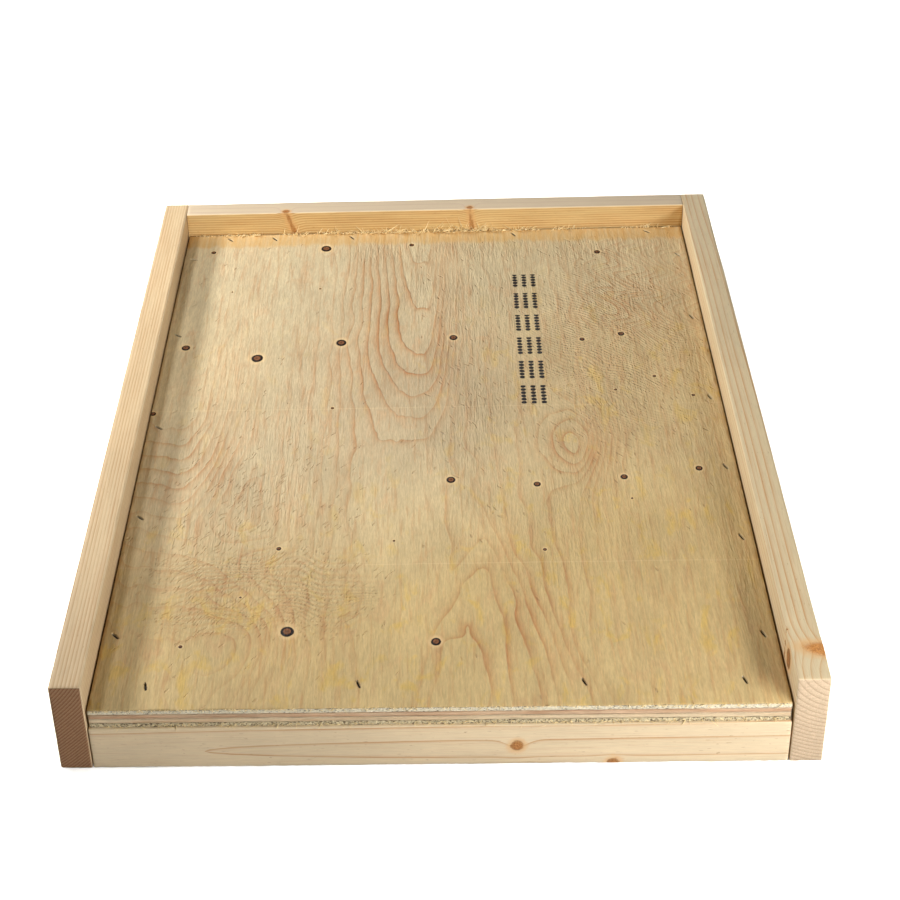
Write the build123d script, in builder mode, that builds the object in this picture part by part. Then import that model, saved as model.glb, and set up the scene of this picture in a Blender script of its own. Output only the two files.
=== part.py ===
from build123d import *
import os

# The floor (bottom board) of a Langstroth hive: a pine frame, open at the front, around a
# plywood deck that is stapled down onto a front batten and three cleats. The rails stand
# above the deck, so that a hive body set on them leaves the bees a way in.
#
# Millimetres. +X is to the right, +Y to the back, +Z up. The origin is on the ground, under
# the middle of the floor.

os.makedirs("parts", exist_ok=True)

# Driving dimensions

overall_width = 413.0  # 16 1/4 in, the width of a ten-frame hive body
overall_length = 558.8  # 22 in, a hive body and the landing strip in front of it
rail_height = 58.0
rail_thickness = 17.5  # the pine stock that the rails and cleats are cut from
entrance_height = 18.0  # how far the rails stand above the deck

ply_thickness = 3.0
ply_count = 4
deck_side_gap = 1.1  # between the deck's side edges and the side rails
deck_back_gap = 0.3
deck_setback = 1.5  # from the front of the rails to the front edge of the deck

batten_depth = 42.0
batten_side_gap = 0.6
batten_setback = 0.2

crown_width = 5.8  # narrow-crown staples
wire_height = 1.0  # the wire's size in the plane of the staple
wire_width = 1.25  # and across it
crown_radius = 0.9
leg_point = 0.7  # the chamfer that points each leg
deck_sink = 1.5  # how far the deck's crowns are driven below the wood
back_row_sink = 0.6  # the back row stops short and still shows its wire
frame_sink = 0.8
slot_height = 2.0  # the driver's blade leaves a slot above the crown, out through the surface
deck_leg = 32.0
frame_leg = 38.0
cleat_leg = 27.0

# Each deck staple: how far along its edge it is, from the left or from the front, and the
# slant of its crown in degrees, because they were driven by eye
back_row = [(51, -50), (85, -56), (144, -58), (267, -62), (368, -46)]
front_row = [(48, -80), (164, -72), (286, -70), (372, -73)]
left_row = [(64, -50), (176, -45), (275, -41), (392, -42), (503, -12)]
right_row = [(59, -70), (148, -69), (221, -67), (301, -72), (405, -68), (496, -60)]
row_in_cleat = 8.2  # from a rail's inner face to the line of staples beside it
front_row_inset = 21.0  # from the front of the rails to the front line

# The hidden fasteners: heights of the staples through the rails, and how far along the
# frame the cleats are stapled to them
corner_heights = [11, 29, 47]
batten_heights = [8, 20]
side_cleat_stations = [100, 200, 340, 450]
back_cleat_stations = [110, 206, 320]

# Derived sizes and places

half_width = overall_width / 2
half_length = overall_length / 2
deck_thickness = ply_count * ply_thickness
deck_top = rail_height - entrance_height
deck_underside = deck_top - deck_thickness  # also the height of the batten and the cleats

rail_inner_x = half_width - rail_thickness
back_rail_front_y = half_length - rail_thickness
batten_back_y = -half_length + batten_depth
back_cleat_front_y = back_rail_front_y - rail_thickness
cleat_inner_x = rail_inner_x - rail_thickness

deck_front_y = -half_length + deck_setback
deck_back_y = back_rail_front_y - deck_back_gap
deck_half_width = rail_inner_x - deck_side_gap


# Shared shapes


def board_plan(x_low, x_high, y_low, y_high):
    """Draw a board's outline, seen from above, in the sketch that is being built."""
    with Locations(((x_low + x_high) / 2, (y_low + y_high) / 2)):
        Rectangle(x_high - x_low, y_high - y_low)


def staple_outline(leg_length, is_hole=False):
    """A staple seen square on, the top of its crown along X at Y = 0 and its legs down.

    Its hole has the same outline, with the driver's slot on top in place of rounded corners.
    """
    leg_gap = crown_width - 2 * wire_height
    with BuildSketch() as outline:
        Rectangle(crown_width, leg_length, align=(Align.CENTER, Align.MAX))
        chamfer(outline.vertices().group_by(Axis.Y)[0], leg_point)
        if is_hole:
            Rectangle(crown_width, slot_height, align=(Align.CENTER, Align.MIN))
        else:
            fillet(outline.vertices().group_by(Axis.Y)[-1], crown_radius)
        with Locations((0, -wire_height)):
            Rectangle(leg_gap, leg_length, align=(Align.CENTER, Align.MAX), mode=Mode.SUBTRACT)
    return outline.sketch


def staple_place(surface_point, outward, crown, sink=frame_sink):
    """The plane of a driven staple: X along its crown and Y out of the wood."""
    outward = Vector(*outward)
    crown = Vector(*crown)
    head = Vector(*surface_point) - outward * sink
    return Plane(head, x_dir=crown, z_dir=crown.cross(outward))


def deck_place(x, y, slant, sink=deck_sink):
    """The plane of a staple driven down through the deck, its crown turned by the slant."""
    crown = Vector(1, 0, 0).rotate(Axis.Z, slant)
    return staple_place((x, y, deck_top), (0, 0, 1), (crown.X, crown.Y, 0), sink)


def drive(places, outline, mode=Mode.ADD):
    """Stand the outline, a wire thick, in each place, in the part that is being built."""
    for place in places:
        with BuildSketch(place) as standing:
            add(outline)
        extrude(standing.sketch, amount=wire_width / 2, both=True, mode=mode)


# Staples and the holes that they leave

deck_staple = staple_outline(deck_leg)
deck_hole = staple_outline(deck_leg, is_hole=True)
frame_staple = staple_outline(frame_leg)
frame_hole = staple_outline(frame_leg, is_hole=True)
cleat_staple = staple_outline(cleat_leg)
cleat_hole = staple_outline(cleat_leg, is_hole=True)

# Where each group of staples goes

row_x = rail_inner_x - row_in_cleat
row_back_y = back_rail_front_y - row_in_cleat
row_front_y = -half_length + front_row_inset

deck_left_places = [deck_place(-row_x, y - half_length, slant) for y, slant in left_row]
deck_right_places = [deck_place(row_x, y - half_length, slant) for y, slant in right_row]
deck_back_places = [
    deck_place(x - half_width, row_back_y, slant, back_row_sink) for x, slant in back_row
]
deck_front_places = [deck_place(x - half_width, row_front_y, slant) for x, slant in front_row]


def outer_places(side, y, heights):
    """Staples through a side rail from outside, side -1 or 1, their crowns upright."""
    points = [(side * half_width, y, z) for z in heights]
    return [staple_place(point, (side, 0, 0), (0, 0, 1)) for point in points]


corner_y = half_length - rail_thickness / 2
batten_y = -half_length + batten_depth / 2
corner_left_places = outer_places(-1, corner_y, corner_heights)
corner_right_places = outer_places(1, corner_y, corner_heights)
batten_left_places = outer_places(-1, batten_y, batten_heights)
batten_right_places = outer_places(1, batten_y, batten_heights)


def side_cleat_places(side):
    """Staples from a side cleat's inner face outwards into the rail, their crowns level."""
    points = [
        (side * cleat_inner_x, y - half_length, deck_underside / 2) for y in side_cleat_stations
    ]
    return [staple_place(point, (-side, 0, 0), (0, 1, 0)) for point in points]


cleat_left_places = side_cleat_places(-1)
cleat_right_places = side_cleat_places(1)
cleat_back_points = [
    (x - half_width, back_cleat_front_y, deck_underside / 2) for x in back_cleat_stations
]
cleat_back_places = [staple_place(point, (0, -1, 0), (1, 0, 0)) for point in cleat_back_points]


# The side rails run the full length. Staples come through them from outside, and out of the
# cleats into their inner faces.

with BuildPart() as side_rail_left:
    with BuildSketch():
        board_plan(-half_width, -rail_inner_x, -half_length, half_length)
    extrude(amount=rail_height)
    drive(corner_left_places + batten_left_places, frame_hole, Mode.SUBTRACT)
    drive(cleat_left_places, cleat_hole, Mode.SUBTRACT)
side_rail_left.part.label = "side_rail_left"
export_step(side_rail_left.part, "parts/side_rail_left.step")

with BuildPart() as side_rail_right:
    with BuildSketch():
        board_plan(rail_inner_x, half_width, -half_length, half_length)
    extrude(amount=rail_height)
    drive(corner_right_places + batten_right_places, frame_hole, Mode.SUBTRACT)
    drive(cleat_right_places, cleat_hole, Mode.SUBTRACT)
side_rail_right.part.label = "side_rail_right"
export_step(side_rail_right.part, "parts/side_rail_right.step")

# The back rail is butted between them

with BuildPart() as back_rail:
    with BuildSketch():
        board_plan(-rail_inner_x, rail_inner_x, back_rail_front_y, half_length)
    extrude(amount=rail_height)
    drive(corner_left_places + corner_right_places, frame_hole, Mode.SUBTRACT)
    drive(cleat_back_places, cleat_hole, Mode.SUBTRACT)
back_rail.part.label = "back_rail"
export_step(back_rail.part, "parts/back_rail.step")

# The batten closes the frame at the front and carries the deck's front edge

with BuildPart() as front_batten:
    with BuildSketch():
        batten_end_x = rail_inner_x - batten_side_gap
        batten_front_y = -half_length + batten_setback
        board_plan(-batten_end_x, batten_end_x, batten_front_y, batten_back_y)
    extrude(amount=deck_underside)
    drive(batten_left_places + batten_right_places, frame_hole, Mode.SUBTRACT)
    drive(deck_front_places, deck_hole, Mode.SUBTRACT)
front_batten.part.label = "front_batten"
export_step(front_batten.part, "parts/front_batten.step")

# The cleats are strips of the rail stock, stapled inside the frame to carry the deck's
# other three edges

with BuildPart() as cleat_left:
    with BuildSketch():
        board_plan(-rail_inner_x, -cleat_inner_x, batten_back_y, back_cleat_front_y)
    extrude(amount=deck_underside)
    drive(cleat_left_places, cleat_hole, Mode.SUBTRACT)
    drive(deck_left_places, deck_hole, Mode.SUBTRACT)
cleat_left.part.label = "cleat_left"
export_step(cleat_left.part, "parts/cleat_left.step")

with BuildPart() as cleat_right:
    with BuildSketch():
        board_plan(cleat_inner_x, rail_inner_x, batten_back_y, back_cleat_front_y)
    extrude(amount=deck_underside)
    drive(cleat_right_places, cleat_hole, Mode.SUBTRACT)
    drive(deck_right_places, deck_hole, Mode.SUBTRACT)
cleat_right.part.label = "cleat_right"
export_step(cleat_right.part, "parts/cleat_right.step")

with BuildPart() as cleat_back:
    with BuildSketch():
        board_plan(-rail_inner_x, rail_inner_x, back_cleat_front_y, back_rail_front_y)
    extrude(amount=deck_underside)
    drive(cleat_back_places, cleat_hole, Mode.SUBTRACT)
    drive(deck_back_places, deck_hole, Mode.SUBTRACT)
cleat_back.part.label = "cleat_back"
export_step(cleat_back.part, "parts/cleat_back.step")

# The deck is a sheet of plywood: four plies, the outer two with their grain front to back
# and the inner two across. Every deck staple goes through all of them.

deck_places = deck_left_places + deck_right_places + deck_back_places + deck_front_places


def ply(number):
    """Build ply number 0 (the underside) to 3 (the face) in the part that is being built."""
    with BuildSketch(Plane.XY.offset(deck_underside + number * ply_thickness)) as sheet:
        board_plan(-deck_half_width, deck_half_width, deck_front_y, deck_back_y)
    extrude(sheet.sketch, amount=ply_thickness)
    drive(deck_places, deck_hole, Mode.SUBTRACT)


with BuildPart() as deck_back_ply:
    ply(0)
deck_back_ply.part.label = "deck_back_ply"
export_step(deck_back_ply.part, "parts/deck_back_ply.step")

with BuildPart() as deck_core_ply_lower:
    ply(1)
deck_core_ply_lower.part.label = "deck_core_ply_lower"
export_step(deck_core_ply_lower.part, "parts/deck_core_ply_lower.step")

with BuildPart() as deck_core_ply_upper:
    ply(2)
deck_core_ply_upper.part.label = "deck_core_ply_upper"
export_step(deck_core_ply_upper.part, "parts/deck_core_ply_upper.step")

with BuildPart() as deck_face_ply:
    ply(3)
deck_face_ply.part.label = "deck_face_ply"
export_step(deck_face_ply.part, "parts/deck_face_ply.step")

# Staples that hold the deck down

with BuildPart() as deck_staples_left:
    drive(deck_left_places, deck_staple)
deck_staples_left.part.label = "deck_staples_left"
export_step(deck_staples_left.part, "parts/deck_staples_left.step")

with BuildPart() as deck_staples_right:
    drive(deck_right_places, deck_staple)
deck_staples_right.part.label = "deck_staples_right"
export_step(deck_staples_right.part, "parts/deck_staples_right.step")

with BuildPart() as deck_staples_back:
    drive(deck_back_places, deck_staple)
deck_staples_back.part.label = "deck_staples_back"
export_step(deck_staples_back.part, "parts/deck_staples_back.step")

with BuildPart() as deck_staples_front:
    drive(deck_front_places, deck_staple)
deck_staples_front.part.label = "deck_staples_front"
export_step(deck_staples_front.part, "parts/deck_staples_front.step")

# Staples that hold the frame together

with BuildPart() as corner_staples_left:
    drive(corner_left_places, frame_staple)
corner_staples_left.part.label = "corner_staples_left"
export_step(corner_staples_left.part, "parts/corner_staples_left.step")

with BuildPart() as corner_staples_right:
    drive(corner_right_places, frame_staple)
corner_staples_right.part.label = "corner_staples_right"
export_step(corner_staples_right.part, "parts/corner_staples_right.step")

with BuildPart() as batten_staples_left:
    drive(batten_left_places, frame_staple)
batten_staples_left.part.label = "batten_staples_left"
export_step(batten_staples_left.part, "parts/batten_staples_left.step")

with BuildPart() as batten_staples_right:
    drive(batten_right_places, frame_staple)
batten_staples_right.part.label = "batten_staples_right"
export_step(batten_staples_right.part, "parts/batten_staples_right.step")

with BuildPart() as cleat_staples_left:
    drive(cleat_left_places, cleat_staple)
cleat_staples_left.part.label = "cleat_staples_left"
export_step(cleat_staples_left.part, "parts/cleat_staples_left.step")

with BuildPart() as cleat_staples_right:
    drive(cleat_right_places, cleat_staple)
cleat_staples_right.part.label = "cleat_staples_right"
export_step(cleat_staples_right.part, "parts/cleat_staples_right.step")

with BuildPart() as cleat_staples_back:
    drive(cleat_back_places, cleat_staple)
cleat_staples_back.part.label = "cleat_staples_back"
export_step(cleat_staples_back.part, "parts/cleat_staples_back.step")
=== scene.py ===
import itertools
import math

import bmesh
import bpy
import numpy as np
from mathutils import Matrix, Vector


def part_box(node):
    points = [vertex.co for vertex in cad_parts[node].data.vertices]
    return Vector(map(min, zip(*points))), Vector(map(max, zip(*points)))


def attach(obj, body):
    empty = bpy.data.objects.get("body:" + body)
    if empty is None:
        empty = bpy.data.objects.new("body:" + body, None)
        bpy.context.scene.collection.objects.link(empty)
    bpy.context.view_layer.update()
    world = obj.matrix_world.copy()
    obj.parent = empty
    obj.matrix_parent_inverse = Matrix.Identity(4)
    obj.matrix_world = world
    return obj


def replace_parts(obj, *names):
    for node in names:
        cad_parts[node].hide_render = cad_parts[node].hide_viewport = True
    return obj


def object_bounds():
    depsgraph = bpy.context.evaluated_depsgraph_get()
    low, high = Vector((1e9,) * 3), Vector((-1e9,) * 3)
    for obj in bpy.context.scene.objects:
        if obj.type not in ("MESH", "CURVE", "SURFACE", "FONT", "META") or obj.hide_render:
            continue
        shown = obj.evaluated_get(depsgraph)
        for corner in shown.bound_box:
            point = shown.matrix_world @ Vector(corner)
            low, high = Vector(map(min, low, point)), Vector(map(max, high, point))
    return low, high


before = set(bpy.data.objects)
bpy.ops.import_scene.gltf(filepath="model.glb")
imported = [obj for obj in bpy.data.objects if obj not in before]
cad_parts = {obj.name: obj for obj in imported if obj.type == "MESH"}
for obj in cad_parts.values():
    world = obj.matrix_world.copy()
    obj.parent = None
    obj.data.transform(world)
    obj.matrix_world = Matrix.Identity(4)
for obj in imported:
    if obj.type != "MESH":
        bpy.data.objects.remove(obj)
cad_low, cad_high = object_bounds()

# Shapes are worked out in millimetres, in the CAD frame, and written to meshes in metres.

MM = 0.001
BODY = "root"
ACROSS, ALONG, UP = 0, 1, 2  # the X, Y and Z columns of a point array


def corners(node):
    """A CAD node's lowest and highest corners in millimetres."""
    low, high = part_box(node)
    return np.array(low) / MM, np.array(high) / MM


FLOOR_LEFT, FLOOR_FRONT, _ = np.array(cad_low) / MM
RAIL_TOP = cad_high[UP] / MM
_, DECK_HIGH = corners("deck_face_ply")
DECK_TOP = DECK_HIGH[UP]
RAIL_INNER = corners("back_rail")[1][ACROSS]
BACK_RAIL_FRONT = corners("back_rail")[0][ALONG]
LATHE_LINES = (295, 127)  # faint lines across the deck, by distance from the front


def from_corner(points):
    """Each point's distance in from the left face, and from the front."""
    return points[:, 0] - FLOOR_LEFT, points[:, 1] - FLOOR_FRONT


def spot(x, y, z):
    """A point given by its distance in from the left face, from the front, and its height."""
    return np.array((FLOOR_LEFT + x, FLOOR_FRONT + y, z))


# ---------------------------------------------------------------- smooth shapes and waves

TABLE = np.random.default_rng(11).random(8192) * 2 - 1
MIXERS = (73856093, 19349663, 83492791)


def waves(points, steps, seed):
    """Smooth random waves through space, about -1 to 1. Steps is their size along X, Y, Z."""
    grid = points / np.array(steps, float) + seed * 17.31
    cell = np.floor(grid).astype(np.int64)
    part = grid - cell
    part = part * part * part * (part * (part * 6 - 15) + 10)
    total = np.zeros(len(points))
    for corner in itertools.product((0, 1), repeat=3):
        key = np.zeros(len(points), np.int64)
        weight = np.ones(len(points))
        for axis in range(3):
            key ^= (cell[:, axis] + corner[axis]) * MIXERS[axis]
            weight *= part[:, axis] if corner[axis] else 1 - part[:, axis]
        total += weight * TABLE[(key + seed * 977) % len(TABLE)]
    return total


def step_up(low, high, value):
    """0 below low, 1 above high, and a smooth rise between them."""
    t = np.clip((value - low) / (high - low), 0, 1)
    return t * t * (3 - 2 * t)


def plateau(low, high, fade, value):
    """1 between low and high, fading to 0 on both sides."""
    return step_up(low - fade, low, value) * (1 - step_up(high, high + fade, value))


def past(start, reach, value):
    """How far the value is past a start, 0 before it, with a rounded corner."""
    return reach * np.logaddexp(0, (value - start) / reach)


def mound(x, y, centre, size):
    """A smooth hill 1 high."""
    return np.exp(-(((x - centre[0]) / size[0]) ** 2) - ((y - centre[1]) / size[1]) ** 2)


def steady(value):
    """A field with the same number at each point."""
    return lambda points: np.full(len(points), float(value))


# ---------------------------------------------------------------- materials


def linear(red, green, blue):
    """A screen colour, 0 to 255, as the linear colour that shaders use."""
    values = [v / 255 for v in (red, green, blue)]
    values = [v / 12.92 if v < 0.04045 else ((v + 0.055) / 1.055) ** 2.4 for v in values]
    return (*values, 1)


class Shader:
    """A material whose nodes are made by short calls. A number or a socket is an input."""

    def __init__(self, name):
        self.material = bpy.data.materials.new(name)
        self.material.use_nodes = True
        self.tree = self.material.node_tree
        self.tree.nodes.clear()
        coordinates = self.node("ShaderNodeTexCoord")
        scaled = {0: coordinates.outputs["Object"], 1: (1 / MM,) * 3}
        self.place = self.node("ShaderNodeVectorMath", scaled, operation="MULTIPLY").outputs[0]
        self.normal = self.node("ShaderNodeSeparateXYZ", {0: coordinates.outputs["Normal"]}).outputs

    def node(self, kind, inputs=None, **settings):
        made = self.tree.nodes.new(kind)
        for key, value in settings.items():
            setattr(made, key, value)
        for key, value in (inputs or {}).items():
            if isinstance(value, bpy.types.NodeSocket):
                self.tree.links.new(value, made.inputs[key])
            else:
                made.inputs[key].default_value = value
        return made

    def math(self, operation, *values):
        return self.node("ShaderNodeMath", dict(enumerate(values)), operation=operation).outputs[0]

    def total(self, *values):
        result = values[0]
        for value in values[1:]:
            result = self.math("ADD", result, value)
        return result

    def product(self, *values):
        result = values[0]
        for value in values[1:]:
            result = self.math("MULTIPLY", result, value)
        return result

    def mix(self, share, a, b):
        inputs = {0: share, 6: a, 7: b}
        return self.node("ShaderNodeMix", inputs, data_type="RGBA").outputs[2]

    def shade(self, colour, tone):
        """A colour made lighter or darker by a factor."""
        inputs = {0: colour[:3] if isinstance(colour, tuple) else colour, "Scale": tone}
        return self.node("ShaderNodeVectorMath", inputs, operation="SCALE").outputs[0]

    def span(self, value, low, high, out_low=0.0, out_high=1.0):
        """A value carried from one range to another, smoothly and clamped."""
        inputs = {0: value, 1: low, 2: high, 3: out_low, 4: out_high}
        made = self.node("ShaderNodeMapRange", inputs, interpolation_type="SMOOTHSTEP")
        return made.outputs[0]

    def attribute(self, name):
        return self.node("ShaderNodeAttribute", attribute_name=name).outputs["Fac"]

    def noise(self, sizes, detail=2.0, rough=0.5, bend=0.0, seed=0.0):
        """Noise whose grains have these sizes in millimetres along X, Y and Z."""
        inputs = {0: self.place, 1: tuple(1 / size for size in sizes)}
        stretched = self.node("ShaderNodeVectorMath", inputs, operation="MULTIPLY").outputs[0]
        inputs = {"Vector": stretched, "W": seed, "Scale": 1.0, "Detail": detail}
        inputs.update({"Roughness": rough, "Distortion": bend})
        return self.node("ShaderNodeTexNoise", inputs, noise_dimensions="4D").outputs[0]

    def dashes(self, across, along, share):
        """Separate thin dashes, one to a cell of this grid. The share is how many cells have one."""
        place = self.node("ShaderNodeCombineXYZ", {0: across, 1: along}).outputs[0]
        inputs = {"Vector": place, "Scale": 1.0, "Randomness": 0.85}
        cells = self.node("ShaderNodeTexVoronoi", inputs, voronoi_dimensions="2D").outputs
        pick = self.node("ShaderNodeSeparateColor", {0: cells["Color"]}).outputs[0]
        inside = self.span(cells["Distance"], 0.14, 0.36, 1.0, 0.0)
        return self.product(inside, self.math("LESS_THAN", pick, share))

    def surface(self, colour, roughness, height, metallic=0.0, specular=0.35):
        """Finishes the material. The height is in millimetres."""
        bump = self.node("ShaderNodeBump", {"Height": height, "Distance": MM, "Strength": 1.0})
        inputs = {"Base Color": colour, "Roughness": roughness, "Metallic": metallic}
        inputs.update({"Specular IOR Level": specular, "Normal": bump.outputs[0]})
        shaded = self.node("ShaderNodeBsdfPrincipled", inputs).outputs[0]
        self.node("ShaderNodeOutputMaterial", {0: shaded})
        return self.material


def lengthwise(across, along, grain):
    """The size of a grain on each axis, for a board whose fibres run along one of them."""
    return tuple(along if axis == grain else across for axis in range(3))


def growth_lines(s, soft, sharp):
    """Latewood, 0 to 1. A line darkens over its soft width, and ends over its sharp one."""
    part = s.math("FRACT", s.attribute("rings"))
    pace = s.math("MAXIMUM", s.attribute("pace"), 0.004)
    before = s.math("DIVIDE", s.math("SUBTRACT", 1.0, part), pace)
    after = s.math("DIVIDE", part, pace)
    rise = s.math("EXPONENT", s.math("DIVIDE", before, -soft))
    return s.math("MAXIMUM", rise, s.span(after, 0.0, sharp, 1.0, 0.0))


def add_knots(s, colour, halo, seed):
    """Knots by each point's distance in knot radii: bark shows as a near-black ring."""
    grainy = s.noise((0.8, 0.8, 0.8), 3, 0.6, 0.5, seed)
    knot = s.total(s.attribute("knot"), s.product(grainy, 0.2), -0.1)
    bark = s.attribute("bark")
    heart = s.mix(s.span(grainy, 0.35, 0.65), linear(90, 54, 33), linear(156, 102, 64))
    centre = s.span(knot, 0.06, 0.34, 0.6, 0.0)
    heart = s.mix(centre, heart, linear(56, 32, 20))
    rim = s.span(s.math("ABSOLUTE", s.total(knot, -0.82)), 0.12, 0.32, 1.0, 0.0)
    heart = s.mix(rim, heart, linear(24, 15, 11))
    sound = s.mix(s.span(grainy, 0.35, 0.65), linear(172, 100, 38), linear(216, 148, 72))
    heart = s.mix(bark, sound, heart)
    hard = s.span(knot, 0.96, 1.1, 1.0, 0.0)
    soft = s.span(knot, 0.6, 1.3, 0.85, 0.0)
    inside = s.total(s.product(hard, bark), s.product(soft, s.math("SUBTRACT", 1.0, bark)))
    colour = s.mix(s.span(knot, 1.05, 2.1, 0.6, 0.0), colour, halo)
    return s.mix(inside, colour, heart)


def pine(name, grain, early, late, end, contrast, end_contrast, seed):
    """Planed softwood with sawn ends. Its rings and knots come from the mesh."""
    s = Shader(name)
    lines = growth_lines(s, 0.75, 0.35)
    streaks = s.noise(lengthwise(0.9, 45, grain), 3, 0.6, 0.3, seed)
    fibres = s.noise(lengthwise(0.5, 9, grain), 2, 0.6, 0.2, seed + 1)
    clouds = s.noise(lengthwise(24, 90, grain), 2, 0.5, 0.6, seed + 2)
    uneven = s.span(s.noise(lengthwise(5, 60, grain), 2, 0.5, 0.0, seed + 6), 0.3, 0.65, 0.45, 1.0)
    colour = s.mix(s.product(lines, contrast, uneven), early, late)
    colour = s.mix(s.span(streaks, 0.5, 0.75, 0.0, 0.3), colour, late)
    tone = s.product(s.span(fibres, 0.3, 0.7, 0.95, 1.04), s.span(clouds, 0.3, 0.7, 0.95, 1.04))
    colour = s.shade(colour, tone)
    canals = s.noise(lengthwise(0.5, 4.5, grain), 1, 0.5, 0.0, seed + 7)
    colour = s.mix(s.span(canals, 0.7, 0.74, 0.0, 0.55), colour, linear(150, 100, 58))

    colour = s.mix(s.attribute("grey"), colour, linear(210, 194, 176))

    # Sawn ends: dark latewood, open pores, and marks left by the saw
    ends = s.span(s.math("ABSOLUTE", s.normal[grain]), 0.6, 0.85)
    pores = s.noise((0.6, 0.6, 0.6), 3, 0.7, 0.0, seed + 3)
    saw = s.noise((9, 9, 0.9), 2, 0.6, 0.3, seed + 5)
    end_late = (end[0] * 0.42, end[1] * 0.32, end[2] * 0.24, 1)
    end_colour = s.mix(s.product(lines, end_contrast), end, end_late)
    end_colour = s.shade(end_colour, s.product(s.span(pores, 0.3, 0.7, 0.84, 1.14),
                                               s.span(saw, 0.3, 0.7, 0.94, 1.05)))
    colour = s.mix(ends, colour, end_colour)
    colour = add_knots(s, colour, linear(224, 176, 118), seed + 4)
    # Painted shade: the staples' slots are darkened to near-black, partly as crushed, dirty fibres
    colour = s.mix(s.attribute("slot_shade"), colour, linear(44, 32, 24))

    # Handled edges are paler and rubbed
    worn = s.product(s.attribute("edge"), s.span(clouds, 0.35, 0.65, 0.2, 0.5))
    colour = s.mix(worn, colour, linear(246, 226, 186))

    height = s.total(s.product(streaks, 0.09), s.product(fibres, 0.06), s.product(lines, 0.03))
    rough_end = s.product(ends, s.total(s.product(pores, -0.14), s.product(saw, -0.06)))
    roughness = s.total(s.span(lines, 0.0, 1.0, 0.62, 0.54), s.product(ends, 0.15))
    return s.surface(colour, roughness, s.total(height, rough_end))


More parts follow.
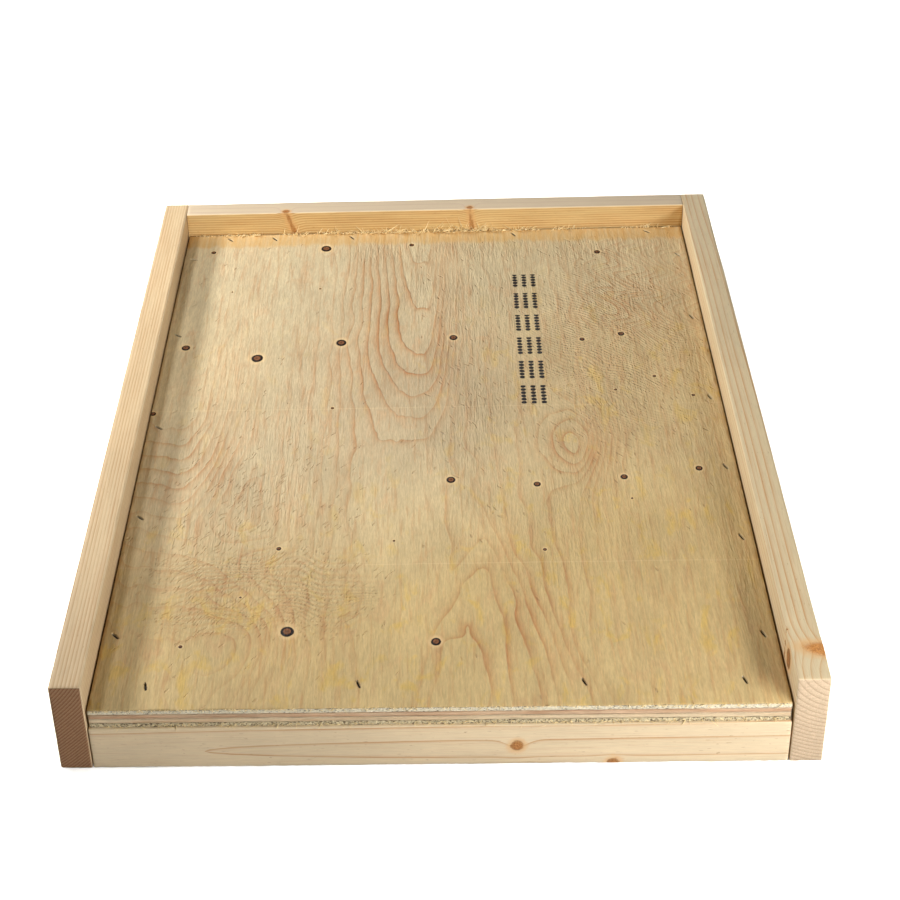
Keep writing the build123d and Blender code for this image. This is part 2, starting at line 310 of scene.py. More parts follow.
def veneer(name, grain, early, late, end, contrast, seed):
    """Rotary-cut veneer: a broad figure, raised and torn fibres, and rough cut edges."""
    s = Shader(name)
    x, y, _ = s.node("ShaderNodeSeparateXYZ", {0: s.place}).outputs
    lines = growth_lines(s, 2.3, 1.0)
    coarse = s.noise(lengthwise(2.4, 30, grain), 2, 0.5, 0.5, seed)
    ridges = s.noise(lengthwise(1.3, 11, grain), 2, 0.55, 0.6, seed + 1)
    fibres = s.noise(lengthwise(0.8, 4.5, grain), 2, 0.6, 0.4, seed + 2)
    clouds = s.noise(lengthwise(30, 70, grain), 2, 0.5, 0.6, seed + 3)
    stains = s.noise(lengthwise(13, 26, grain), 3, 0.6, 0.8, seed + 4)
    faint = s.span(s.noise(lengthwise(7, 40, grain), 2, 0.5, 0.0, seed + 5), 0.32, 0.6, 0.5, 1.0)
    yellow = s.attribute("yellow")
    shown, rough = s.attribute("figure"), s.attribute("rough")
    base = s.mix(s.product(yellow, 0.7), early, linear(207, 176, 112))
    base = s.mix(s.attribute("dull"), base, linear(172, 152, 128))
    colour = s.mix(s.product(lines, contrast, shown, faint), base, late)
    colour = s.mix(s.span(coarse, 0.5, 0.75, 0.0, 0.34), colour, late)
    colour = s.mix(s.product(s.span(stains, 0.54, 0.7, 0.0, 0.6), yellow), colour,
                   linear(218, 182, 92))
    colour = s.mix(s.span(stains, 0.46, 0.3, 0.0, 0.3), colour, linear(204, 158, 114))
    tone = s.product(s.span(fibres, 0.3, 0.7, 0.93, 1.06), s.span(ridges, 0.3, 0.7, 0.9, 1.06),
                     s.span(clouds, 0.3, 0.7, 0.93, 1.06))
    colour = s.shade(colour, tone)

    # Short nicks where the fibres tore out, in rows where the grain is curly
    curl, torn = s.attribute("curl"), s.attribute("torn")
    rows = s.attribute("ripple")
    ripple = s.math("SINE", s.product(rows, 2 * math.pi))
    wander = s.product(s.noise(lengthwise(14, 14, grain), 1, 0.5, 0.0, seed + 6), 12.0)
    leaning = s.total(x, s.product(y, s.span(x, -11, -10, -0.65, 0.3)), wander)
    short = s.dashes(s.math("DIVIDE", leaning, 2.3), rows, s.product(curl, 0.8))
    long = s.dashes(s.math("DIVIDE", leaning, 2.6), s.math("DIVIDE", y, 6.5), s.product(torn, 0.45))
    nick = s.math("MAXIMUM", short, long)
    colour = s.mix(s.product(nick, 0.2), colour, linear(166, 112, 58))
    colour = s.mix(s.product(curl, s.span(ripple, 0.2, -0.9, 0.0, 0.25)), colour, late)

    # A planed band along the back, and faint lines left by the lathe
    band = s.attribute("band")
    fade = s.product(band, s.span(coarse, 0.3, 0.6, 0.35, 0.6))
    colour = s.mix(fade, colour, linear(208, 164, 92))
    # Painted shade: a dark line along the deck's back edge, in the gap where it meets the back rail
    junction = s.span(y, DECK_HIGH[ALONG] - 1.7, DECK_HIGH[ALONG] - 0.8, 0.0, 0.75)
    colour = s.mix(junction, colour, linear(92, 60, 34))
    for line in LATHE_LINES:
        away = s.math("ABSOLUTE", s.total(y, -FLOOR_FRONT - line, s.product(clouds, 2.0)))
        colour = s.mix(s.span(away, 0.2, 0.7, 0.16, 0.0), colour, linear(248, 226, 176))

    # Cut edges: end grain is speckled and grey, and the glue lines are dark
    top = s.span(s.math("ABSOLUTE", s.normal[UP]), 0.5, 0.8)
    ends = s.product(s.span(s.math("ABSOLUTE", s.normal[grain]), 0.35, 0.7),
                     s.math("SUBTRACT", 1.0, top))
    pores = s.noise((0.9, 0.9, 0.55), 3, 0.65, 0.2, seed + 7)
    specks = s.noise((1.3, 1.3, 0.7), 2, 0.6, 0.2, seed + 8)
    cut = s.shade(end, s.span(pores, 0.3, 0.7, 0.78, 1.15))
    holes = s.span(s.total(specks, s.product(rough, 0.09)), 0.6, 0.67, 0.0, 0.85)
    cut = s.mix(holes, cut, linear(78, 58, 38))
    colour = s.mix(ends, colour, cut)
    glue = s.product(s.attribute("edge"), s.span(specks, 0.35, 0.6, 0.5, 1.0))
    colour = s.mix(s.product(glue, s.math("SUBTRACT", 1.0, top)), colour, linear(84, 58, 36))

    colour = add_knots(s, colour, linear(236, 204, 152), seed + 9)
    # Painted shade: the staples' slots are darkened to near-black, partly as crushed, dirty fibres
    colour = s.mix(s.attribute("slot_shade"), colour, linear(26, 20, 15))
    ink = dotted_bars(s, x, y)
    upward = s.span(s.normal[UP], 0.5, 0.8)
    colour = s.mix(s.product(ink, upward, s.attribute("stamped")), colour, linear(9, 10, 24))

    height = s.total(s.product(coarse, 0.9), s.product(ridges, 1.0), s.product(fibres, 0.4))
    height = s.product(rough, s.total(height, -1.15))
    broken = s.product(ripple, curl, s.span(ridges, 0.35, 0.65, 0.1, 0.38))
    height = s.total(height, broken, s.product(nick, -0.5), s.product(lines, shown, 0.25))
    height = s.total(height, s.product(ends, s.total(pores, specks), -0.25))
    height = s.product(height, s.span(band, 0.0, 1.0, 1.0, 0.4))
    roughness = s.total(s.span(lines, 0.0, 1.0, 0.66, 0.58), s.product(ends, 0.15))
    return s.surface(colour, roughness, height)


def dotted_bars(s, x, y):
    """A plain stamp of ink dots: blocks of three dotted bars along the grain."""
    start = spot(262, 292, 0)
    row, dot, block = 6.6, 3.9, 31.0
    x, y = s.total(x, -start[0]), s.total(y, -start[1])
    jitter = s.total(s.product(s.noise((1.6, 1.6, 1.6), 1, 0.5, 0.0, 31), 1.2), -0.6)

    def centred(value, pitch):
        part = s.math("FRACT", s.math("DIVIDE", value, pitch))
        return s.product(s.total(part, -0.5), pitch)

    off_x, off_y = s.total(centred(x, row), jitter), centred(y, dot)
    away = s.math("SQRT", s.total(s.product(off_x, off_x), s.product(off_y, off_y)))
    inked = s.span(s.total(away, s.product(jitter, 0.6)), 1.6, 1.95, 0.98, 0.0)
    wide = s.product(s.span(x, 0.0, 0.1), s.span(x, 3 * row, 3 * row + 0.1, 1.0, 0.0))
    long = s.product(s.span(y, 0.0, 0.1), s.span(y, 6 * block - 8, 6 * block - 7.9, 1.0, 0.0))
    gap = s.span(s.math("ABSOLUTE", centred(y, block)), 0.36 * block, 0.36 * block + 0.1, 1.0, 0.0)
    return s.product(inked, wide, long, gap)


def steel(name):
    """Staple wire: spangled, dulled by handling, and dark, partly as painted shade in the slots."""
    s = Shader(name)
    spangle = s.noise((0.5, 0.5, 0.5), 3, 0.6, 0.2)
    scratch = s.noise((0.12, 0.9, 0.12), 2, 0.5)
    # The dark greys are partly painted shade, so the crowns read black down in their slots
    colour = s.mix(spangle, linear(38, 35, 33), linear(92, 88, 84))
    return s.surface(colour, s.span(scratch, 0.3, 0.7, 0.38, 0.6), s.product(scratch, 0.03), 0.9)


def fibre(name, dark, light):
    """Loose splinters, paler than the wood they come from."""
    s = Shader(name)
    colour = s.mix(s.noise((3, 3, 3), 2), dark, light)
    return s.surface(colour, 0.7, s.product(s.noise((0.2, 0.2, 1.5)), 0.05))


# ---------------------------------------------------------------- board meshes


def stations(low, high, step, arris):
    """Where a board's mesh is cut along one axis: the arris first, then even steps."""
    count = max(1, round((high - low - 2 * arris) / step))
    inner = np.linspace(low + arris, high - arris, count + 1)
    return np.concatenate([[low], inner, [high]])


def board_surface(low, high, steps, arris, plain):
    """A box's surface as quads. A plain side, such as (2, -1) for the underside, is one face."""
    lines = [stations(low[a], high[a], steps[a], arris) for a in range(3)]
    shape = [len(line) for line in lines]
    index = np.indices(shape)
    outer = np.zeros(shape, bool)
    for axis, side in itertools.product(range(3), (-1, 1)):
        layer = index[axis] == (0 if side < 0 else shape[axis] - 1)
        if (axis, side) in plain:
            others = [a for a in range(3) if a != axis]
            layer = layer & np.any([(index[a] == 0) | (index[a] == shape[a] - 1) for a in others], 0)
        outer |= layer
    number = np.full(shape, -1)
    number[outer] = np.arange(outer.sum())
    points = np.stack([lines[a][index[a][outer]] for a in range(3)], 1)

    faces = []
    for axis, side in itertools.product(range(3), (-1, 1)):
        grid = np.take(number, 0 if side < 0 else -1, axis=axis)
        if (side > 0) == (axis == 1):
            grid = grid[::-1]
        if (axis, side) in plain:
            rim = [grid[:-1, 0], grid[-1, :-1], grid[:0:-1, -1], grid[0, :0:-1]]
            faces.append(np.concatenate(rim).tolist())
        else:
            quads = [grid[:-1, :-1], grid[1:, :-1], grid[1:, 1:], grid[:-1, 1:]]
            faces += np.stack(quads, -1).reshape(-1, 4).tolist()
    return points, faces


def refine(points, faces, spots, cuts=3):
    """Cut the faces near each spot, (point, reach), into smaller ones."""
    mesh = bmesh.new()
    made = [mesh.verts.new(p) for p in points]
    for face in faces:
        mesh.faces.new([made[i] for i in face])
    mesh.faces.ensure_lookup_table()
    middles = np.array([f.calc_center_median() for f in mesh.faces])
    near = np.zeros(len(middles), bool)
    for point, reach in spots:
        near |= np.linalg.norm(middles - point, axis=1) < reach
    small = np.array([len(f.verts) == 4 for f in mesh.faces])
    edges = {edge for i in np.flatnonzero(near & small) for edge in mesh.faces[i].edges}
    edges = sorted(edges, key=lambda edge: edge.index)
    bmesh.ops.subdivide_edges(mesh, edges=edges, cuts=cuts, use_grid_fill=True)
    mesh.verts.index_update()
    points = np.array([v.co for v in mesh.verts])
    faces = [[v.index for v in f.verts] for f in mesh.faces]
    mesh.free()
    return points, faces


def make_piece(name, points, faces, material, fields=None):
    """A mesh piece in metres that rides on the body, with a number per point for each field."""
    mesh = bpy.data.meshes.new(name)
    mesh.from_pydata((points * MM).tolist(), [], faces)
    mesh.validate()
    mesh.polygons.foreach_set("use_smooth", [True] * len(mesh.polygons))
    for key, values in (fields or {}).items():
        attribute = mesh.attributes.new(key, "FLOAT", "POINT")
        attribute.data.foreach_set("value", values.astype(np.float32))
    mesh.materials.append(material)
    piece = bpy.data.objects.new(name, mesh)
    bpy.context.scene.collection.objects.link(piece)
    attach(piece, BODY)
    return piece


def ring_pace(rings, points, sides):
    """How many rings a millimetre crosses on the board's surface, at each point."""
    reach = 0.4
    total = np.zeros(len(points))
    for axis in range(3):
        shift = np.eye(3)[axis] * reach
        slope = (rings(points + shift) - rings(points - shift)) / (2 * reach)
        total += np.where(sides[:, axis] == 0, slope, 0) ** 2
    return np.sqrt(total)


def board(node, steps, material, fields, relief, spots=(), plain=(), arris=0.7):
    """The detailed board that stands for a CAD node.

    Each field gives a number per point for the material. relief(points, axis, side) says how
    far each point of one side stands out, in millimetres.
    """
    low, high = corners(node)
    points, faces = board_surface(low, high, steps, arris, plain)
    points, faces = refine(points, faces, spots) if spots else (points, faces)
    flat = points.copy()
    sides = (flat >= high - 1e-3).astype(int) - (flat <= low + 1e-3).astype(int)
    corner = np.abs(sides).sum(1) > 1
    wear = 0.26 + 0.14 * waves(flat, (9, 9, 9), 5) + 0.1 * waves(flat, (2.5, 2.5, 2.5), 6)
    for axis, side in itertools.product(range(3), (-1, 1)):
        if (axis, side) not in plain:
            on = sides[:, axis] == side
            out = np.where(corner[on], -wear[on], relief(flat[on], axis, side))
            points[on, axis] += side * out
    values = {key: field(flat) for key, field in fields.items()}
    values["pace"] = ring_pace(fields["rings"], flat, sides)
    values["edge"] = corner.astype(float)
    values.setdefault("knot", np.full(len(flat), 9.0))
    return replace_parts(make_piece(node + "_wood", points, faces, material, values), node)


# ---------------------------------------------------------------- staples

HALF_CROWN = 3.1
HALF_SLOT = 0.5
SLOT_SIDE = 0.35


def crowns(node, axis, side):
    """Each staple in a CAD group: its crown's middle and its crown's direction."""
    points = np.array([v.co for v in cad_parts[node].data.vertices]) / MM
    heights = points[:, axis] * side
    groups = []
    for point in points[heights > heights.max() - 0.05]:
        near = [group for group in groups if np.linalg.norm(group[0] - point) < 12]
        if near:
            near[0].append(point)
        else:
            groups.append([point])
    found = []
    for group in groups:
        group = np.array(group)
        direction = np.linalg.svd(group - group.mean(0))[2][0]
        found.append(((group.min(0) + group.max(0)) / 2, direction))
    return found


def slots(points, axis, found):
    """1 where the staples' slots sink the side of a board, 0 away from them."""
    sunk = np.zeros(len(points))
    for middle, direction in found:
        away = points - middle
        away[:, axis] = 0
        lengthways = away @ direction
        across = np.linalg.norm(away - np.outer(lengthways, direction), axis=1)
        inside = step_up(SLOT_SIDE, 0.0, np.abs(lengthways) - HALF_CROWN)
        narrowed = HALF_SLOT * (1 - 0.6 * (lengthways / HALF_CROWN) ** 2)
        inside *= step_up(SLOT_SIDE, 0.0, across - narrowed)
        sunk = np.maximum(sunk, inside)
    return sunk


deep_crowns = [c for row in ("left", "right", "front") for c in crowns(f"deck_staples_{row}", UP, 1)]
shallow_crowns = crowns("deck_staples_back", UP, 1)
outer_left = crowns("corner_staples_left", ACROSS, -1) + crowns("batten_staples_left", ACROSS, -1)
outer_right = crowns("corner_staples_right", ACROSS, 1) + crowns("batten_staples_right", ACROSS, 1)
DEEP_SLOT, SHALLOW_SLOT, FRAME_SLOT = 2.4, 1.4, 1.6

# ---------------------------------------------------------------- pine rails, batten, cleats

# A knot: a point on the branch's middle, its direction, its radius, how far it pushes the rings


def branch_distance(points, start, direction):
    """Each point's distance from a line through space."""
    direction = np.array(direction, float)
    direction /= np.linalg.norm(direction)
    away = points - start
    return np.linalg.norm(away - np.outer(away @ direction, direction), axis=1)


def bent_rings(rings, grain, knots, seed):
    """Rings made uneven, and bent round the knots."""
    long, short = lengthwise(45, 220, grain), lengthwise(11, 60, grain)

    def bent(points):
        bend = 2.0 * waves(points, long, seed) + 0.2 * waves(points, short, seed + 1)
        for start, direction, radius, push in knots:
            near = branch_distance(points, start, direction) / (radius * 2.4)
            bend += push * np.exp(-(near**2))
        return rings(points, bend)

    return bent


def round_pith(grain, pith, spacing, tighten=1.0):
    """Growth rings round a line along the grain, closer together further out if tightened."""
    first, second = [axis for axis in range(3) if axis != grain]

    def rings(points, bend):
        radius = np.hypot(points[:, first] - pith[0], points[:, second] - pith[1])
        return ((radius + bend) / spacing) ** tighten

    return rings


def sawn_relief(grain, knot, staples, staple_side):
    """Sides nearly flat, sawn ends rough, knots proud, and the staples' slots sunk."""

    def relief(points, axis, side):
        if axis == grain:
            coarse = waves(points, (1.6, 1.6, 1.6), 31)
            saw = waves(points, (30, 30, 1.1), 32)
            return 0.05 * coarse + 0.04 * saw - 0.05
        out = 0.05 * waves(points, lengthwise(2.2, 26, grain), 33)
        out += 0.12 * waves(points, (60, 60, 60), 34)
        distance = knot(points)
        out += 0.1 * step_up(1.3, 0.8, distance)
        out -= 0.2 * np.exp(-(((distance - 1.0) / 0.15) ** 2))
        if (axis, side) == staple_side:
            out -= FRAME_SLOT * slots(points, axis, staples)
        return out

    return relief


def knot_spots(knots, low, high):
    """Where knots cross a board's sides, for a finer mesh there."""
    spots = []
    for start, direction, radius, _ in knots:
        for axis in range(3):
            if abs(direction[axis]) > 1e-6:
                for level in (low[axis], high[axis]):
                    step = (level - start[axis]) / direction[axis]
                    point = start + np.array(direction, float) * step
                    if np.all(point > low - radius) and np.all(point < high + radius):
                        spots.append((point, radius * 2.2))
    return spots


def pine_board(node, grain, rings, material, steps, knots=(), bark=0.0, grey_top=0.0,
               staples=(), staple_side=None, plain=(), seed=3):
    """A sawn board. bark, from 0 to 1, is how dark its knots are: a number or a field. grey_top
    is how weathered its top face is."""
    low, high = corners(node)

    def knot(points):
        nearest = np.full(len(points), 9.0)
        for start, direction, radius, _ in knots:
            nearest = np.minimum(nearest, branch_distance(points, start, direction) / radius)
        return nearest * (1 + 0.12 * waves(points, (2.2, 2.2, 2.2), 7))

    fields = {
        "rings": bent_rings(rings, grain, knots, seed),
        "knot": knot,
        "bark": bark if callable(bark) else steady(bark),
        "grey": lambda points: grey_top * step_up(high[UP] - 0.5, high[UP], points[:, UP]),
        "slot_shade": lambda points: slots(points, (staple_side or (UP,))[0], staples),
    }
    spots = knot_spots(knots, low, high) + [(middle, 5.0) for middle, _ in staples]
    relief = sawn_relief(grain, knot, staples, staple_side)
    return board(node, steps, material, fields, relief, spots, plain)


LEFT = corners("side_rail_left")
RIGHT = corners("side_rail_right")
BATTEN = corners("front_batten")
RAIL_STEPS = (1.3, 2.4, 1.3)
CROSS_STEPS = (2.4, 1.3, 1.3)

left_pine = pine(
    "rail_left_pine", ALONG, linear(221, 198, 159), linear(176, 124, 74), linear(172, 132, 98),
    0.7, 0.95, seed=1,
)
left_rings = round_pith(ALONG, (LEFT[0][0] - 75, RAIL_TOP + 55), 1.62)
pine_board(
    "side_rail_left", ALONG, left_rings, left_pine, RAIL_STEPS,
    staples=outer_left, staple_side=(ACROSS, -1), seed=3,
)

# One branch leans through the right rail, from its inner face up to its top. It is dark with
# bark at the inner face and sound at the top. Beside it there is a thin, dark streak.
right_pine = pine(
    "rail_right_pine", ALONG, linear(222, 203, 165), linear(198, 138, 78), linear(204, 181, 152),
    0.85, 0.5, seed=2,
)
right_knots = [
    (spot(0, 28.4, 47.8) * (0, 1, 1) + (RAIL_INNER, 0, 0), (17.5, -4.5, 10.5), 5.1, 3.4),
    (spot(0, 40, 50) * (0, 1, 1) + (RAIL_INNER, 0, 0), (0.02, 0.12, 1), 0.7, 0.6),
]
right_rings = round_pith(ALONG, (RIGHT[1][0] + 8, RAIL_TOP + 13), 7.8, 1.42)
pine_board(
    "side_rail_right", ALONG, right_rings, right_pine, RAIL_STEPS, right_knots,
    bark=lambda points: 0.6 * step_up(RAIL_INNER + 5, RAIL_INNER, points[:, 0]),
    staples=outer_right, staple_side=(ACROSS, 1), seed=5,
)

# Two branches run up the back rail's inner face, cut lengthwise
back_pine = pine(
    "rail_back_pine", ACROSS, linear(230, 203, 145), linear(186, 122, 60), linear(170, 128, 88),
    0.95, 0.5, seed=3,
)
back_knots = [
    (spot(101, 0, 38) * (1, 0, 1) + (0, BACK_RAIL_FRONT + 1.5, 0), (-0.36, 0.05, 1), 2.6, 2.6),
    (spot(236, 0, 38) * (1, 0, 1) + (0, BACK_RAIL_FRONT + 1.5, 0), (-0.1, 0.05, 1), 2.4, 2.6),
]
pine_board(
    "back_rail", ACROSS, round_pith(ACROSS, (BACK_RAIL_FRONT - 30, -60), 2.0), back_pine,
    CROSS_STEPS, back_knots, bark=0.35, grey_top=0.7, seed=7,
)


def batten_rings(points, bend):
    """Wide rings cut nearly flat: the pith comes closer to the front face to the right."""
    x, _ = from_corner(points)
    depth = 10.8 - 5.5 * step_up(-60, 240, x) + points[:, 1] - BATTEN[0][1]
    return (np.hypot(depth, points[:, 2] - 12 + bend) + 0.3 * bend) / 8.5


batten_pine = pine(
    "batten_pine", ACROSS, linear(227, 206, 171), linear(194, 139, 87), linear(170, 132, 94),
    0.95, 0.5, seed=4,
)
batten_knots = [
    (spot(249, 0, 13) * (1, 0, 1) + (0, BATTEN[0][1], 0), (0, 1, 0), 3.5, 3.6),
    (spot(301, 0, -0.6) * (1, 0, 1) + (0, BATTEN[0][1], 0), (0, 1, -0.4), 3.6, -2.0),
]
pine_board(
    "front_batten", ACROSS, batten_rings, batten_pine, CROSS_STEPS, batten_knots,
    bark=0.42, seed=9,
)

cleat_colours = (linear(232, 204, 156), linear(200, 152, 98), linear(170, 132, 94), 0.6, 0.5)
cleat_pine = pine("cleat_pine", ALONG, *cleat_colours, seed=5)
cleat_back_pine = pine("cleat_back_pine", ACROSS, *cleat_colours, seed=6)
for node in ("cleat_left", "cleat_right"):
    pine_board(
        node, ALONG, round_pith(ALONG, (0, -90), 2.4), cleat_pine, (2.2, 5, 2.2),
        plain=((UP, 1),), seed=12,
    )
pine_board(
    "cleat_back", ACROSS, round_pith(ACROSS, (BACK_RAIL_FRONT, -80), 2.4), cleat_back_pine,
    (5, 2.2, 2.2), plain=((UP, 1),), seed=13,
)

# ---------------------------------------------------------------- plywood deck

# Knots in the face ply: distance from the left face, from the front, and radius
DECK_KNOTS = [
    (125, 516, 4.0), (39.6, 513.4, 1.8), (189.6, 519.2, 1.8), (328.2, 502.7, 2.3),
    (32.9, 374.9, 3.0), (83.9, 359.5, 4.2), (141.4, 378.1, 3.7), (219.6, 382.4, 3.0),
    (308.6, 377, 1.9), (336.1, 383.4, 2.3), (353.6, 327.7, 1.3), (326.4, 311.7, 1.0),
    (376.8, 303.4, 1.3), (138.6, 294.9, 1.2), (216.1, 210.9, 2.9), (269.3, 204.9, 2.3),
    (323.6, 211.3, 2.3), (370.7, 219.2, 2.3), (112.9, 142.7, 1.5), (181.4, 148.8, 0.8),
    (270.7, 138.4, 1.2), (122.5, 65.9, 4.0), (206.1, 55.6, 2.8), (63.6, 53.8, 1.2),
    (19.8, 291.7, 2.0), (326.4, 188.4, 0.8), (123.2, 454.9, 0.9), (58.9, 452.4, 0.8),
    (93.6, 97, 0.8),
]
KNOT_STRETCH = 0.85

# How many arches have been passed, by distance from the front
ARCHES = [
    (225, 0), (240, 0.2), (261, 0.9), (284, 1.8), (311, 2.8), (338, 3.8), (372, 4.8),
    (410, 5.3), (443, 5.8), (500, 6.6), (560, 7.4),
]


def deck_rings(points):
    """The face's figure: contour lines of a smooth hill, mostly along the grain."""
    x, y = from_corner(points)

    # At the back right the lines sway from side to side
    sway = step_up(290, 345, x) * plateau(400, 510, 55, y)
    wander = (y + 0.4 * (x - 350) + 9 * waves(points, (34, 24, 50), 9)) / 38
    x = x + 7.5 * sway * np.sin(2 * math.pi * wander)
    x = x + 5 * waves(points, (60, 60, 50), 1) * step_up(215, 240, x)
    x = x + 1.3 * waves(points, (16, 24, 50), 2)

    # Plain lines, with a ridge right of the middle
    h = x / 60 + past(80, 6, x) / 9 - past(148, 8, x) / 8.4
    h -= past(206, 3, x) / 14 + past(300, 8, x) / 14

    # Nested arches that open to the back, and narrower ones that open to the front
    lean = x - 194 - 0.02 * (y - 300)
    arches = np.interp(y + 3 * waves(points, (9, 14, 50), 3), *zip(*ARCHES))
    h += arches * step_up(-62, -2, lean) * (1 - step_up(3, 36, lean))
    side = x - 233
    spread = (np.sqrt(side**2 + 14) - 14**0.5) * np.where(side > 0, 2.7, 4.6)
    h += 3.4 * (1 - np.exp(-past(0, 5, 176 - y - spread) / 70))

    # Contours across the grain on the left, with a hump at the front, and closed loops on
    # the right
    edge = 40 + 45 * step_up(175, 115, y)
    h += (past(74, 9, y) - past(285, 9, y)) / 16 * (1 - step_up(edge, edge + 68, x))
    h -= 2.6 * mound(x, y, (97, 52), (24, 34))
    h += 4.6 * mound(x, y, (296, 250), (17, 40))

    for kx, ky, radius in DECK_KNOTS:
        h += 0.35 * radius / 3 * mound(x, y, (kx + radius * 1.2, ky), (radius * 2, radius * 5))
    h += 0.45 * waves(points, (26, 120, 50), 41) + 0.2 * waves(points, (9, 26, 50), 42)
    return h + 0.05 * waves(points, (3, 9, 50), 43)


def deck_figure(points):
    """How strongly the rings show: well in the arches and loops, faintly elsewhere."""
    x, y = from_corner(points)
    shown = 0.24 + mound(x, y, (180, 360), (38, 170)) + 0.9 * mound(x, y, (245, 85), (42, 85))
    shown += 0.7 * mound(x, y, (296, 250), (30, 50)) + 0.6 * mound(x, y, (350, 450), (42, 70))
    shown += 0.6 * mound(x, y, (55, 215), (50, 75)) + 0.4 * mound(x, y, (100, 90), (65, 45))
    return np.clip(shown * (0.8 + 0.4 * waves(points, (30, 60, 50), 12)), 0, 1)


def deck_knot(points):
    """Distance from the nearest knot, in that knot's radii, a little uneven."""
    x, y = from_corner(points)
    nearest = np.full(len(points), 9.0)
    for kx, ky, radius in DECK_KNOTS:
        nearest = np.minimum(nearest, np.hypot(x - kx, (y - ky) * KNOT_STRETCH) / radius)
    return nearest * (1.06 + 0.08 * waves(points, (6, 6, 6), 51))


def deck_band(points):
    """The smoother band along the back rail, with a ragged edge."""
    _, y = from_corner(points)
    ragged = 2.6 * waves(points, (3, 9, 3), 61) + 1.6 * waves(points, (11, 11, 11), 60)
    return step_up(518, 525, y + ragged)


def deck_torn(points):
    """Where the veneer was cut against its grain, and tore."""
    x, y = from_corner(points)
    zones = 0.9 * mound(x, y, (95, 170), (50, 95)) + 0.5 * mound(x, y, (335, 360), (50, 90))
    zones += 0.3 * mound(x, y, (225, 330), (30, 150)) + 0.02
    return np.clip(zones * (0.9 + 0.6 * waves(points, (20, 34, 50), 62)), 0, 1)


def deck_rough(points):
    """How far the fibres stand up: little at the back left, more to the right and the back."""
    x, y = from_corner(points)
    zones = 0.65 * mound(x, y, (315, 150), (75, 120)) + mound(x, y, (228, 370), (30, 150))
    zones += 0.9 * mound(x, y, (335, 350), (60, 120)) + 0.45 * mound(x, y, (95, 190), (50, 110))
    zones += 0.7 * plateau(503, 522, 18, y) * step_up(90, 180, x) + 0.3
    return np.clip(zones * (0.9 + 0.6 * waves(points, (24, 50, 50), 44)), 0.15, 1.3)


def deck_curl(points):
    """Two zones where the fibres ripple: above the front left knot, and on the right."""
    x, y = from_corner(points)
    patchy = 0.75 + 0.5 * waves(points, (22, 16, 50), 70)
    front = plateau(70, 140, 45, x) * plateau(84, 122, 34, y)
    return patchy * (front + 0.8 * mound(x, y, (325, 370), (50, 95)))


def deck_ripple(points):
    """The ripples' count across the two curly zones."""
    x, y = from_corner(points)
    arch = 10 * mound(x, y, (97, 58), (22, 24)) + 9 * mound(x, y, (122.5, 66), (14, 20))
    front = (y - arch + 9 * waves(points, (24, 26, 50), 63)) / 4.6
    right = (y + 0.8 * x + 8 * waves(points, (26, 26, 50), 64)) / 3.4
    return np.where(x < 230, front, right)


def deck_yellow(points):
    """Where the veneer is stained yellow: toward the front and the right."""
    x, y = from_corner(points)
    stained = 0.25 + 0.8 * step_up(260, 20, y) + 0.5 * step_up(150, 330, x)
    return np.clip(stained * (0.3 + 0.7 * step_up(480, 340, y)), 0, 1)


def deck_dull(points):
    """Where the veneer is greyer: round the middle, and on the left."""
    x, y = from_corner(points)
    return 0.45 * mound(x, y, (200, 320), (110, 120)) + 0.25 * mound(x, y, (60, 200), (60, 90))


# The staples' slots in the face, which get painted shade
def deck_slot_shade(points):
    on_top = step_up(DECK_TOP - 0.4, DECK_TOP, points[:, 2])
    return slots(points, UP, deep_crowns + shallow_crowns) * on_top


def deck_relief(points, axis, side):
    """Ridges along the grain on the face, knots and slots in it, and torn edges."""
    if axis == UP:
        out = 0.09 * waves(points, (2.8, 30, 9), 65) + 0.07 * waves(points, (7, 60, 9), 66)
        out *= 0.5 + deck_torn(points)
        distance = deck_knot(points)
        out += 0.1 * step_up(1.4, 0.7, distance)
        out -= 0.25 * np.exp(-(((distance - 0.95) / 0.16) ** 2))
        out -= DEEP_SLOT * slots(points, UP, deep_crowns)
        return out - SHALLOW_SLOT * slots(points, UP, shallow_crowns)
    if axis == ALONG:
        return 0.3 * waves(points, (0.9, 9, 0.9), 67) + 0.25 * waves(points, (3, 9, 3), 68) - 0.1
    return 0.1 * waves(points, (9, 4, 1.2), 69)


def face_spots():
    """The knots and the staples, where the face's mesh is finer."""
    spots = [(spot(x, y, DECK_TOP), radius + 1.8) for x, y, radius in DECK_KNOTS]
    middles = [middle for middle, _ in deep_crowns + shallow_crowns]
    return spots + [(np.array((m[0], m[1], DECK_TOP)), 4.6) for m in middles]


face_veneer = veneer(
    "face_veneer", ALONG, linear(217, 200, 163), linear(184, 122, 70), linear(226, 216, 190),
    0.95, seed=8,
)
upper_veneer = veneer(
    "core_upper_veneer", ACROSS, linear(230, 200, 166), linear(178, 124, 84),
    linear(206, 190, 156), 0.8, seed=9,
)
lower_veneer = veneer(
    "core_lower_veneer", ACROSS, linear(238, 220, 184), linear(196, 150, 104),
    linear(206, 190, 156), 0.6, seed=11,
)
back_veneer = veneer(
    "back_veneer", ALONG, linear(222, 198, 152), linear(184, 134, 80), linear(220, 204, 166),
    0.5, seed=10,
)
face_fields = {
    "rings": deck_rings, "figure": deck_figure, "knot": deck_knot, "band": deck_band,
    "torn": deck_torn, "rough": deck_rough, "curl": deck_curl, "ripple": deck_ripple,
    "yellow": deck_yellow, "dull": deck_dull, "slot_shade": deck_slot_shade, "stamped": steady(1),
    "bark": steady(1),
}
board(
    "deck_face_ply", (1.65, 1.65, 0.6), face_veneer, face_fields, deck_relief,
    face_spots(), plain=((UP, -1),), arris=0.4,
)


def core_rings(points):
    return points[:, 1] / 7 + 0.6 * waves(points, (90, 14, 6), 71) + points[:, 2] / 2.6


def core_relief(points, axis, side):
    if axis == ACROSS:
        return 0.3 * waves(points, (0.9, 0.9, 0.9), 72) - 0.1
    return 0.12 * waves(points, (14, 9, 1.2), 73)


